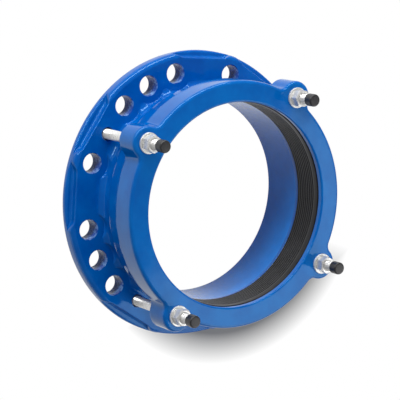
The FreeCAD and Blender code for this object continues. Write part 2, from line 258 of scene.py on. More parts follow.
@dataclass
class Surface:
    """Patches of one piece in millimetres, which become a single welded mesh."""

    name: str
    points: list[np.ndarray] = field(default_factory=list)
    corners: list[np.ndarray] = field(default_factory=list)
    sides: list[np.ndarray] = field(default_factory=list)
    smooth: list[np.ndarray] = field(default_factory=list)
    finish: list[np.ndarray] = field(default_factory=list)
    held: int = 0

    def _keep(self, points: np.ndarray, faces: np.ndarray, shade: Shade, finish: Coat) -> None:
        """Adds points and faces.

        Args:
            points: Array whose last axis is x, y, z.
            faces: Rows of point numbers, which count from the first of these points.
            shade: How the faces are shaded.
            finish: Which of the piece's finishes they wear.
        """
        count = len(faces)
        self.points.append(points.reshape(-1, 3))
        self.corners.append((faces + self.held).reshape(-1))
        self.sides.append(np.full(count, faces.shape[1]))
        self.smooth.append(np.full(count, shade.value))
        self.finish.append(np.full(count, finish))
        self.held += len(self.points[-1])

    def grid(self, points: np.ndarray, wrap: bool = True, shade: Shade = Shade.SMOOTH,
             finish: Coat = Coat.OUTSIDE) -> None:
        """Adds a patch of four-sided faces.

        Args:
            points: Array of rows, columns and x, y, z.
            wrap: Whether the last column joins the first.
            shade: How its faces are shaded.
            finish: Which of the piece's finishes it wears.
        """
        rows, columns = points.shape[:2]
        number = np.arange(rows * columns).reshape(rows, columns)
        after = np.roll(number, -1, axis=1) if wrap else number[:, 1:]
        here = number if wrap else number[:, :-1]
        faces = np.stack([here[:-1], after[:-1], after[1:], here[1:]], axis=-1).reshape(-1, 4)
        self._keep(points, faces, shade, finish)

    def fill(self, loops: Sequence[np.ndarray], height: float) -> None:
        """Adds a flat patch between closed loops: outside all holes and inside the outer loop.

        Formula: a Delaunay net that keeps the loops' edges, of which a triangle stays if a ray
        from its middle crosses the loops an odd number of times. Where two loops cross, the net
        has a point that the walls on those loops lack; it lies on their edges, without a gap.

        Args:
            loops: Arrays of x and y, the outer loop and the holes in any order.
            height: Height of the patch.
        """
        flat = np.concatenate(loops)
        edges, first = [], 0
        for loop in loops:
            number = first + np.arange(len(loop))
            edges.append(np.stack([number, np.roll(number, -1)], axis=1))
            first += len(loop)
        joined = np.concatenate(edges)
        net = delaunay_2d_cdt(flat.tolist(), joined.tolist(), [], WHOLE_HULL, NET_TOLERANCE)
        spots = np.array([tuple(point) for point in net[0]])
        faces = np.array(net[2], int)
        (ax, ay), (bx, by) = flat[joined[:, 0]].T, flat[joined[:, 1]].T
        rise = np.where(by != ay, by - ay, 1.0)     # a level edge meets no level ray
        kept = []
        for block in np.array_split(faces, NET_BLOCKS):
            middle = spots[block].mean(axis=1)
            x, y = middle[:, :1], middle[:, 1:]
            crossed = ((ay > y) != (by > y)) & (x < ax + (y - ay) * (bx - ax) / rise)
            kept.append(block[crossed.sum(axis=1) % 2 == 1])
        placed = np.column_stack([spots, np.full(len(spots), height)])
        self._keep(placed, np.concatenate(kept), Shade.FLAT, Coat.OUTSIDE)

    def build(self) -> bpy.types.Object:
        """Makes the object: welded, facing outwards and in metres.

        Returns:
            The new object, in the scene and at the origin.
        """
        mesh = bpy.data.meshes.new(self.name)
        corners, sides = np.concatenate(self.corners), np.concatenate(self.sides)
        points = np.concatenate(self.points) * MM
        mesh.vertices.add(len(points))
        mesh.vertices.foreach_set("co", points.astype(np.float32).reshape(-1))
        mesh.loops.add(len(corners))
        mesh.loops.foreach_set("vertex_index", corners.astype(np.int32))
        mesh.polygons.add(len(sides))
        mesh.polygons.foreach_set("loop_start", (np.cumsum(sides) - sides).astype(np.int32))
        mesh.polygons.foreach_set("use_smooth", np.concatenate(self.smooth))
        mesh.polygons.foreach_set("material_index", np.concatenate(self.finish).astype(np.int32))
        mesh.update(calc_edges=True)
        work = bmesh.new()
        work.from_mesh(mesh)
        bmesh.ops.remove_doubles(work, verts=work.verts, dist=WELD)
        bmesh.ops.recalc_face_normals(work, faces=work.faces)
        odd_edges = sum(1 for edge in work.edges if not edge.is_manifold)
        work.to_mesh(mesh)
        work.free()
        if odd_edges:
            log.warning("%s has %d edges that don't join exactly two faces", self.name, odd_edges)
        piece = bpy.data.objects.new(self.name, mesh)
        bpy.context.scene.collection.objects.link(piece)
        return piece


@dataclass(frozen=True)
class Hole:
    """A round hole from one level face to another, with rounded edges."""

    radius: float
    edge: float
    steps: int
    columns: Columns
    top: float
    bottom: float

    def wall(self, surface: Surface, centre: Pair) -> tuple[np.ndarray, np.ndarray]:
        """Adds the hole's wall.

        Formula: a quarter round of the edge's radius, the plain wall, and the same quarter round
        upside down.

        Args:
            surface: Where the patch goes.
            centre: Where the hole's axis stands.

        Returns:
            The loops, as x and y, where it meets the upper face and the lower one.
        """
        along, rise = quarter_round(self.steps)
        wide = self.radius + self.edge * (1.0 - along)
        low = self.edge * rise
        walls = turned(np.concatenate([wide, wide[::-1]]),
                       np.concatenate([self.top - low, (self.bottom + low)[::-1]]),
                       evenly(self.columns), centre)
        surface.grid(walls, finish=Coat.HOLE)
        return walls[0, :, :2], walls[-1, :, :2]


def weigh_normals(piece: bpy.types.Object) -> None:
    """Lets the large faces of a piece set the shading where they meet narrow roundings."""
    modifier = piece.modifiers.new("weighted", "WEIGHTED_NORMAL")
    modifier.keep_sharp = True


# Finishes

@dataclass(frozen=True)
class Noise:
    """A noise: how many lumps a metre, how many finer layers, and how strong these are."""

    scale: float
    detail: float = 2.0
    rough: float = 0.5


class Sheet:
    """One material's node tree, with short ways to add and join nodes."""

    def __init__(self, name: str) -> None:
        """Starts a material with an empty tree, its output and the piece's own coordinates.

        Args:
            name: The material's name.
        """
        self.material = bpy.data.materials.new(name)
        self.material.use_nodes = True
        self.tree = self.material.node_tree
        self.tree.nodes.clear()
        self.output = self.add("OutputMaterial")
        self.place = self.add("TexCoord").outputs["Object"]

    def add(self, kind: str, values: dict[str | int, object] | None = None,
            **settings: object) -> bpy.types.Node:
        """Adds one node.

        Args:
            kind: Node type without its ShaderNode prefix.
            values: Names or numbers of sockets, with a number, a colour or another node's socket.
            settings: The node's own properties.

        Returns:
            The new node.
        """
        node = self.tree.nodes.new(f"ShaderNode{kind}")
        for key, value in settings.items():
            setattr(node, key, value)
        for key, value in (values or {}).items():
            self.feed(node.inputs[key], value)
        return node

    def feed(self, socket: Socket, value: object) -> None:
        """Joins a socket to another one, or gives it a value.

        Args:
            socket: The socket that is fed.
            value: Another node's socket, or a number or colour.
        """
        if isinstance(value, Socket):
            self.tree.links.new(value, socket)
        else:
            socket.default_value = value

    def work_out(self, operation: str, *values: object) -> Socket:
        """Adds a Math node.

        Args:
            operation: Its operation.
            values: Numbers or sockets that it works on.

        Returns:
            Its result.
        """
        node = self.add("Math", operation=operation)
        for socket, value in zip(node.inputs, values):
            self.feed(socket, value)
        return node.outputs[0]

    def measure(self, operation: str, *values: object) -> bpy.types.Node:
        """Adds a Vector Math node that works on vectors."""
        return self.add("VectorMath", dict(enumerate(values)), operation=operation)

    def ramp(self, value: Socket, span: Pair, ends: Pair = (0.0, 1.0)) -> Socket:
        """Maps a value from a span to two ends, and goes past neither.

        Args:
            value: The value.
            span: The values that give the first end and the second.
            ends: The results there.

        Returns:
            The result.
        """
        return self.add("MapRange", {"Value": value, "From Min": span[0], "From Max": span[1],
                                     "To Min": ends[0], "To Max": ends[1]}).outputs["Result"]

    def noise(self, pattern: Noise, vector: Socket | None = None) -> Socket:
        """Adds a noise.

        Args:
            pattern: Its scale and layers.
            vector: The coordinates that it follows, or None for the piece's own.

        Returns:
            Its value.
        """
        return self.add("TexNoise", {"Vector": vector or self.place, "Scale": pattern.scale,
                                     "Detail": pattern.detail, "Roughness": pattern.rough}).outputs[0]

    def wound(self, around: float, upward: float) -> Socket:
        """Coordinates in which a noise becomes streaks round the upright axis.

        Formula: the angle round the axis times one factor, and the height times the other.

        Args:
            around: Factor of the angle, low for long streaks.
            upward: Factor of the height, high for narrow streaks.

        Returns:
            The coordinates.
        """
        apart = self.add("SeparateXYZ", {"Vector": self.place}).outputs
        angle = self.work_out("ARCTAN2", apart["Y"], apart["X"])
        return self.add("CombineXYZ", {"X": self.work_out("MULTIPLY", angle, around),
                                       "Z": self.work_out("MULTIPLY", apart["Z"], upward)}).outputs[0]

    def mix(self, share: Socket, first: Triple, second: Triple) -> Socket:
        """Blends two colours.

        Args:
            share: How much of the second there is, from 0 to 1.
            first: The first colour.
            second: The second colour.

        Returns:
            The blend.
        """
        node = self.add("Mix", {"Factor": share}, data_type="RGBA")
        self.feed(node.inputs[COLOUR_A], (*first, 1.0))
        self.feed(node.inputs[COLOUR_B], (*second, 1.0))
        return node.outputs[COLOUR_OUT]

    def bump(self, height: Socket, depth: float, below: Socket | None = None) -> Socket:
        """Turns a value into a bump.

        Args:
            height: Heights from 0 to 1.
            depth: How deep the bump is, in millimetres.
            below: Another bump that it lies on.

        Returns:
            The normal.
        """
        node = self.add("Bump", {"Height": height, "Distance": depth * MM, "Strength": 1.0})
        if below is not None:
            self.feed(node.inputs["Normal"], below)
        return node.outputs["Normal"]

    def shade(self, **values: object) -> bpy.types.Material:
        """Adds the surface shader.

        Args:
            values: Its sockets, with an underscore for each space, and what feeds them.

        Returns:
            The finished material.
        """
        sockets = {key.replace("_", " "): value for key, value in values.items()}
        shader = self.add("BsdfPrincipled", sockets)
        self.tree.links.new(shader.outputs["BSDF"], self.output.inputs["Surface"])
        return self.material


@dataclass(frozen=True)
class Epoxy:
    """Fusion-bonded epoxy on cast iron: glossy, thick, with a fine orange peel and soft waves.

    Depths are in millimetres; a depth of 0 leaves out the streaks round the axis or the lumps.
    """

    name: str
    deep: Triple = (0.0, 0.104, 0.43)
    bright: Triple = (0.0, 0.136, 0.50)
    sheen: Triple = (0.45, 0.80, 1.0)
    mottle: Noise = Noise(35.0, 4.0, 0.6)
    mottle_span: Pair = (0.35, 0.65)
    clouding: Noise = Noise(90.0, 3.0)
    gloss: Pair = (0.055, 0.10)
    wave: Noise = Noise(22.0, 1.0)
    wave_depth: float = 0.08
    streak: Noise = Noise(5.0, 3.0, 0.6)
    streak_winding: Pair = (2.0, 110.0)
    streak_depth: float = 0.0
    lump: Noise = Noise(560.0, 2.0, 0.6)
    lump_depth: float = 0.0
    peel: Noise = Noise(620.0, 1.0)
    peel_depth: float = 0.004
    index: float = 1.44

    def material(self) -> bpy.types.Material:
        """Builds the paint.

        Returns:
            The material: two blues mottled by a slow noise, roughness by a finer one, and bumps
            of slow waves, of streaks round the axis, of coarse lumps and of orange peel.
        """
        sheet = Sheet(self.name)
        mottled = sheet.ramp(sheet.noise(self.mottle), self.mottle_span)
        colour = sheet.mix(mottled, self.deep, self.bright)
        rough = sheet.ramp(sheet.noise(self.clouding), SPREAD, self.gloss)
        normal = sheet.bump(sheet.noise(self.wave), self.wave_depth)
        if self.streak_depth:
            streaks = sheet.noise(self.streak, sheet.wound(*self.streak_winding))
            normal = sheet.bump(streaks, self.streak_depth, normal)
        if self.lump_depth:
            normal = sheet.bump(sheet.noise(self.lump), self.lump_depth, normal)
        normal = sheet.bump(sheet.noise(self.peel), self.peel_depth, normal)
        return sheet.shade(Base_Color=colour, Roughness=rough, Normal=normal, IOR=self.index,
                           Specular_Tint=(*self.sheen, 1.0))


def epoxy_with_painted_glints(name: str) -> Epoxy:
    """The coating inside a drilled hole: a deep blue with pale blots, which are painted highlights for
    its glints.
    """
    return Epoxy(name, deep=(0.0, 0.055, 0.33), bright=(0.13, 0.28, 0.60), index=1.22,
                 mottle=Noise(190.0, 4.0, 0.6), mottle_span=(0.46, 0.60), lump_depth=0.35)


@dataclass(frozen=True)
class Rubber:
    """Moulded black rubber with a thin bloom and fine mould lines round the axis."""

    name: str = "black_rubber_dressed"
    dark: Triple = (0.008, 0.008, 0.009)
    bloom: Triple = (0.018, 0.018, 0.020)
    cloud: Noise = Noise(55.0, 5.0, 0.6)
    cloud_span: Pair = (0.4, 0.7)
    gloss: Pair = (0.26, 0.40)
    line: Noise = Noise(5.0)
    line_winding: Pair = (0.8, 180.0)
    line_depth: float = 0.02
    grain: Noise = Noise(1400.0)
    grain_depth: float = 0.005
    shine: float = 0.22

    def material(self) -> bpy.types.Material:
        """Builds the rubber.

        Returns:
            The material: a dark grey with patches of bloom, and bumps of lines and grain.
        """
        sheet = Sheet(self.name)
        cloud = sheet.noise(self.cloud)
        colour = sheet.mix(sheet.ramp(cloud, self.cloud_span), self.dark, self.bloom)
        rough = sheet.ramp(cloud, SPREAD, self.gloss)
        lines = sheet.bump(sheet.noise(self.line, sheet.wound(*self.line_winding)), self.line_depth)
        normal = sheet.bump(sheet.noise(self.grain), self.grain_depth, lines)
        return sheet.shade(Base_Color=colour, Roughness=rough, Normal=normal,
                           Specular_IOR_Level=self.shine)


@dataclass(frozen=True)
class Zinc:
    """Zinc-plated steel: satin, pale and slightly warm, with fine scratches and dull spots."""

    name: str
    pale: Triple = (0.84, 0.84, 0.83)
    warm: Triple = (0.70, 0.69, 0.67)
    spot: Noise = Noise(300.0, 4.0, 0.65)
    spot_span: Pair = (0.35, 0.65)
    clouding: Noise = Noise(520.0, 3.0)
    gloss: Pair = (0.24, 0.42)
    scratch: Noise = Noise(260.0, 2.0, 0.6)
    scratch_stretch: Triple = (1.0, 1.0, 14.0)
    scratch_depth: float = 0.010
    grain: Noise = Noise(1500.0)
    grain_depth: float = 0.006
    metal: float = 0.6

    def material(self) -> bpy.types.Material:
        """Builds the plating.

        Returns:
            The material: metal mottled between two greys, with scratches across the height.
        """
        sheet = Sheet(self.name)
        colour = sheet.mix(sheet.ramp(sheet.noise(self.spot), self.spot_span), self.pale, self.warm)
        rough = sheet.ramp(sheet.noise(self.clouding), SPREAD, self.gloss)
        across = sheet.add("Mapping", {"Vector": sheet.place, "Scale": self.scratch_stretch})
        scratches = sheet.bump(sheet.noise(self.scratch, across.outputs[0]), self.scratch_depth)
        normal = sheet.bump(sheet.noise(self.grain), self.grain_depth, scratches)
        return sheet.shade(Base_Color=colour, Roughness=rough, Normal=normal, Metallic=self.metal)


@dataclass(frozen=True)
class Plastic:
    """Soft black plastic of the thread caps, with a faint grain and scuffs."""

    name: str = "black_plastic_dressed"
    dark: Triple = (0.016, 0.016, 0.018)
    scuffed: Triple = (0.040, 0.040, 0.044)
    scuff: Noise = Noise(260.0, 5.0, 0.7)
    scuff_span: Pair = (0.5, 0.75)
    gloss: Pair = (0.30, 0.45)
    grain: Noise = Noise(1800.0)
    grain_depth: float = 0.010

    def material(self) -> bpy.types.Material:
        """Builds the plastic.

        Returns:
            The material: near black with lighter scuffs, and a bump of fine grain.
        """
        sheet = Sheet(self.name)
        scuffs = sheet.noise(self.scuff)
        colour = sheet.mix(sheet.ramp(scuffs, self.scuff_span), self.dark, self.scuffed)
        rough = sheet.ramp(scuffs, SPREAD, self.gloss)
        normal = sheet.bump(sheet.noise(self.grain), self.grain_depth)
        return sheet.shade(Base_Color=colour, Roughness=rough, Normal=normal)


class Slot(Enum):
    """The record's material slots."""

    EPOXY = "blue_epoxy"
    RUBBER = "black_rubber"
    ZINC = "zinc_steel"
    PLASTIC = "black_plastic"


def dress(piece: bpy.types.Object, body: str, node: str,
          finishes: Iterable[bpy.types.Material]) -> None:
    """Puts a piece in place of a CAD node.

    Args:
        piece: The new object.
        body: The CAD body that it moves with.
        node: The CAD node that it stands for.
        finishes: Its materials, in the order of Coat.
    """
    for finish in finishes:
        piece.data.materials.append(finish)
    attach(piece, body)
    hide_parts(node)


# The object's sub-assemblies

@dataclass(frozen=True)
class Drilling:
    """Where the holes of the flange and the clamp bolts are."""

    bolt_circle: float = 147.5
    bolt_hole: float = 11.5
    bolt_turns: tuple[float, ...] = tuple(
        base + turn for base in QUARTERS for turn in (0.0, 15.0, 30.0, 60.0))
    clamp_circle: float = 143.5
    clamp_turns: tuple[float, ...] = tuple(base + 45.0 for base in QUARTERS)

    @staticmethod
    def centres(radius: float, turns: Sequence[float]) -> list[Pair]:
        """Hole centres as x and y, for a circle and its angles."""
        angles = [math.radians(turn) for turn in turns]
        return [(radius * math.cos(angle), radius * math.sin(angle)) for angle in angles]


@dataclass
class FlangeCasting:
    """The body: flange with holes and rim steps, scalloped neck, flare, bell and bore."""

    drilling: Drilling
    rim: float = 170.0
    thick: float = 20.0
    rim_round: float = 6.0
    round_steps: int = 5
    column_turn: float = 1.5        # angle between columns where nothing happens

    neck: float = 126.0
    root: float = 9.5               # fillet between the flange's face and the neck
    root_steps: int = 15
    neck_top: float = 36.0
    flare_start: float = 0.5        # above the root fillet
    flare_round: float = 8.0
    flare_steps: int = 6
    bell: float = 135.0
    bell_bottom: float = 48.0
    bell_seam: float = 6.0          # above the bell's bottom, where two patches join
    bell_top: float = 84.0
    bell_round: float = 1.0
    mouth: float = 130.0
    mouth_round: float = 0.8
    seat: float = 120.5
    seat_bottom: float = 62.0
    seat_round: float = 1.0
    bore: float = 118.0
    bore_seam: float = 4.0          # below the seat's bottom, where two patches join
    bore_round: float = 1.2
    land_round: float = 0.8         # where the seat's floor turns down into the bore

    scallop: float = 21.3           # radius of the room round a bolt
    scallop_foot: float = 1.6       # fillet where that room meets the flange's face
    scallop_blend: float = 1.5
    scallop_stop: float = 3.0       # below the neck's top, where the scallops end
    cusp_blend: float = 2.0         # rounding of the ridge between two scallops
    scallop_span: float = 8.4       # angle from a hole within which columns lie close together
    scallop_turn: float = 0.36      # angle between those columns

    step_turns: tuple[float, ...] = tuple(base + turn for base in QUARTERS for turn in (45.0, 75.0))
    step_wall: float = 161.5
    step_middle: float = 3.0        # from the wall to the middle of the step's floor
    step_floor: float = 11.0
    step_half: float = 37.0         # half the length of a step
    step_ramp: float = 9.0          # how far inside its end a step starts to run out
    step_reach: float = 4.0         # how far past its end it still runs out
    step_foot: float = 3.0
    step_edge: float = 1.3
    step_fade: float = 4.0          # width of floor below which the edge grows as round as the rim
    fillet_share: float = 0.42      # the most of the floor that a fillet takes
    end_span: Pair = (10.0, 6.0)    # how far inside and past an end columns lie close together
    end_columns: int = 33
    middle_start: float = 12.0      # how far inside both ends the wider columns lie
    middle_columns: int = 13
    plain_gap: float = 0.5          # between a step's last column and the next plain one

    hole_round: float = 0.8
    hole_steps: int = 4
    clamp_hole: float = 7.5
    recess_half: float = 9.3
    recess_depth: float = 9.0
    recess_ease: float = 0.15
    recess_blend: float = 0.5
    recess_bevel: float = 0.4

    def neck_angles(self) -> np.ndarray:
        """Angles of the neck's columns: close together at the scallops, wide apart elsewhere.

        Returns:
            The angles in rising order.
        """
        fine = np.arange(0.0, FULL_TURN, self.scallop_turn)
        coarse = np.arange(0.0, FULL_TURN, self.column_turn)
        near = np.abs(from_nearest(fine, self.drilling.bolt_turns)) < self.scallop_span
        apart = np.abs(from_nearest(coarse, self.drilling.bolt_turns)) >= self.scallop_span
        return np.unique(np.concatenate([fine[near], coarse[apart]]))

    def scallop_reach(self, angles: np.ndarray) -> np.ndarray:
        """How far out the neck may stand at each angle before it meets the room of a bolt.

        Formula: the near side of a circle round the bolt, which is the bolt circle times the
        cosine of the angle to it, less the root of the circle's radius squared less the sine part
        squared; the lowest of the neighbouring bolts, with the cusp between them rounded.

        Args:
            angles: Column angles.

        Returns:
            One reach for each column, far outside where no bolt is near.
        """
        reach = np.full(angles.shape, FAR)
        for turn in self.drilling.bolt_turns:
            away = np.radians(signed(angles - turn))
            side = self.drilling.bolt_circle * np.sin(away)
            inside = (np.abs(side) < self.scallop) & (np.cos(away) > 0.0)
            depth = np.sqrt(np.where(inside, self.scallop ** 2 - side ** 2, 0.0))
            near = np.where(inside, self.drilling.bolt_circle * np.cos(away) - depth, FAR)
            reach = smooth_min(reach, near, self.cusp_blend)
        return reach

    def neck_rows(self, angles: np.ndarray) -> tuple[np.ndarray, np.ndarray]:
        """Radii and heights of the outside from the flange's face up to the bell.

        Formula: the neck's own outline of root fillet, wall and flare, held down to the reach of
        the scallops, whose foot is a small fillet of its own.

        Args:
            angles: Column angles.

        Returns:
            Radii of each row and column, and heights of each row.
        """
        along, rise = quarter_round(self.root_steps)
        root_heights = self.thick + self.root * rise
        root_radii = self.neck + self.root * (1.0 - along)
        flare = rounded([
            (self.neck, self.thick + self.root + self.flare_start, 0.0),
            (self.neck, self.neck_top, self.flare_round),
            (self.bell, self.bell_bottom, self.flare_round),
            (self.bell, self.bell_bottom + self.bell_seam, 0.0),
        ], self.flare_steps)
        heights = np.concatenate([root_heights, flare[:, 1]])
        outline = np.concatenate([root_radii, flare[:, 0]])
        lift = np.clip(1.0 - (heights - self.thick) / self.scallop_foot, 0.0, 1.0)
        foot = self.scallop_foot * (1.0 - np.sqrt(1.0 - lift ** 2))
        low = heights <= self.neck_top - self.scallop_stop
        reach = self.scallop_reach(angles)[None, :] + np.where(low, foot, FAR)[:, None]
        radii = smooth_min(np.repeat(outline[:, None], len(angles), axis=1), reach, self.scallop_blend)
        return radii, heights

    def shell(self, surface: Surface) -> tuple[np.ndarray, np.ndarray]:
        """Adds the outside from the flange's face over the mouth and down the bore.

        Args:
            surface: Where the patches go.

        Returns:
            The loops, as x and y, where it meets the flange's face and the mating face.
        """
        angles = self.neck_angles()
        radii, heights = self.neck_rows(angles)
        outside = turned(radii, heights, angles)
        surface.grid(outside)
        over = rounded([
            (self.bell, self.bell_bottom + self.bell_seam, 0.0),
            (self.bell, self.bell_top, self.bell_round),
            (self.mouth, self.bell_top, self.mouth_round),
            (self.seat, self.seat_bottom, self.seat_round),
            (self.bore, self.seat_bottom, self.land_round),
            (self.bore, self.seat_bottom - self.bore_seam, 0.0),
        ])
        surface.grid(turned(over[:, 0], over[:, 1], angles))
        down = rounded([
            (self.bore, self.seat_bottom - self.bore_seam, 0.0),
            (self.bore, 0.0, self.bore_round),
            (self.bore + RUN_ON, 0.0, 0.0),
        ], self.round_steps)[:-1]
        inside = turned(down[:, 0], down[:, 1], angles)
        surface.grid(inside, finish=Coat.BORE)
        return outside[0, :, :2], inside[-1, :, :2]

    def rim_angles(self) -> np.ndarray:
        """Angles of the rim's columns: close together where a step ends, wide apart elsewhere.

        Formula: places along the straight middle line of a step's floor, as angles seen from the
        axis and repeated for each step, and equal angles between the steps.

        Returns:
            The angles in rising order.
        """
        within, past = self.end_span
        end = np.linspace(self.step_half - within, self.step_half + past, self.end_columns)
        start = self.step_half - self.middle_start
        places = np.concatenate([-end[::-1], np.linspace(-start, start, self.middle_columns), end])
        line = self.step_wall + self.step_middle
        local = np.degrees(np.arctan2(places, line))
        steps = (local[None, :] + np.array(self.step_turns)[:, None]).reshape(-1) % FULL_TURN
        plain = np.arange(0.0, FULL_TURN, self.column_turn)
        taken = math.degrees(math.atan2(self.step_half + past + self.plain_gap, line))
        plain = plain[np.abs(from_nearest(plain, self.step_turns)) > taken]
        return np.unique(np.round(np.concatenate([steps, plain]), ANGLE_DIGITS))

    def rim_rows(self, angles: np.ndarray) -> tuple[np.ndarray, np.ndarray]:
        """Radii and heights of the rim from the flange's face down to the mating face.

        Formula: the upper edge is the rim circle, except in a step, where it is the straight
        wall of the step, with a smooth ramp between; from the wall a floor runs out to the rim
        at the step's height, with a fillet at its foot and a rounding at its edge, both no more
        than a share of the floor's width, so that they vanish where the step ends.

        Args:
            angles: Column angles.

        Returns:
            Radii and heights of each row and column.
        """
        near = np.radians(from_nearest(angles, self.step_turns))
        wall = self.step_wall / np.cos(near)
        across = np.abs(wall * np.tan(near) * np.cos(near))
        ramp = smooth_step(self.step_half - self.step_ramp, self.step_half + self.step_reach, across)
        edge = np.minimum(wall + (self.rim - wall) * ramp, self.rim)
        floor = self.rim - edge
        share = np.clip(floor / self.step_fade, 0.0, 1.0)
        top = self.rim_round + (self.step_edge - self.rim_round) * share
        foot = np.minimum(self.step_foot, self.fillet_share * floor)
        lip = np.minimum(self.rim_round, self.fillet_share * floor)
        along, rise = quarter_round(self.round_steps)
        along, rise = along[:, None], rise[:, None]
        full = np.full(angles.shape, self.rim)
        radii = np.concatenate([
            edge - top + top * along,
            edge + foot * rise,
            self.rim - lip + lip * along,
            full - self.rim_round * rise,
        ])
        heights = np.concatenate([
            self.thick - top * rise,
            self.step_floor + foot - foot * along,
            self.step_floor - lip * rise,
            np.repeat(self.rim_round - self.rim_round * along, len(angles), axis=1),
        ])
        return radii, heights

    def clamp_way(self, surface: Surface, centre: Pair, turn: float) -> tuple[np.ndarray, np.ndarray]:
        """Adds the hole of a clamp bolt and, behind it, the hexagonal recess for its head.

        Args:
            surface: Where the patches go.
            centre: Where the bolt's axis stands.
            turn: Angle of one corner of the recess.

        Returns:
            The loops, as x and y, where it meets the flange's face and the mating face.
        """
        along, rise = quarter_round(self.hole_steps)
        columns = evenly(Columns.SMALL_RING)
        wide = np.append(self.clamp_hole + self.hole_round * (1.0 - along), self.clamp_hole)
        tall = np.append(self.thick - self.hole_round * rise, self.recess_depth)
        upper = turned(wide, tall, columns, centre)
        recess = hexagon(columns, self.recess_half, turn, self.recess_ease, self.recess_blend)
        hole = np.full(columns.shape, self.clamp_hole)
        lower = turned(np.stack([hole, recess, recess, recess + self.recess_bevel]),
                       np.array([self.recess_depth, self.recess_depth, self.recess_bevel, 0.0]),
                       columns, centre)
        surface.grid(upper, finish=Coat.HOLE)
        surface.grid(lower, shade=Shade.FLAT, finish=Coat.HOLE)
        return upper[0, :, :2], lower[-1, :, :2]

    def build(self) -> bpy.types.Object:
        """Builds the casting as one closed surface.

        Returns:
            The dressed object.
        """
        surface = Surface("flange_casting")
        foot_loop, bore_loop = self.shell(surface)
        angles = self.rim_angles()
        radii, heights = self.rim_rows(angles)
        rim = turned(radii, heights, angles)
        surface.grid(rim)
        loops = [(rim[0, :, :2], rim[-1, :, :2]), (foot_loop, bore_loop)]
        hole = Hole(self.drilling.bolt_hole, self.hole_round, self.hole_steps, Columns.FLANGE_HOLE,
                    self.thick, 0.0)
        bolts, clamps = self.drilling.bolt_turns, self.drilling.clamp_turns
        for centre in self.drilling.centres(self.drilling.bolt_circle, bolts):
            loops.append(hole.wall(surface, centre))
        for centre, turn in zip(self.drilling.centres(self.drilling.clamp_circle, clamps), clamps):
            loops.append(self.clamp_way(surface, centre, turn))
        surface.fill([face for face, _ in loops], self.thick)
        surface.fill([back for _, back in loops], 0.0)
        piece = surface.build()
        weigh_normals(piece)
        dress(piece, "adaptor_body", "flange_body", [
            # The casting's blues are darker than the ring's same paint: painted shade for the flange's
            # face, which the ring and bell shade
            Epoxy("epoxy_on_casting_painted_shade", deep=(0.0, 0.090, 0.42), bright=(0.0, 0.122, 0.49)).material(),
            epoxy_with_painted_glints("epoxy_in_holes_painted_glints").material(),
            # The bore's blues are far lighter than the outside's same paint: painted light in the
            # shaded bore
            Epoxy("epoxy_in_bore_painted_light", deep=(0.0, 0.19, 0.66), bright=(0.0, 0.23, 0.76), index=1.28,
                  streak_depth=0.28).material(),
        ])
        return piece


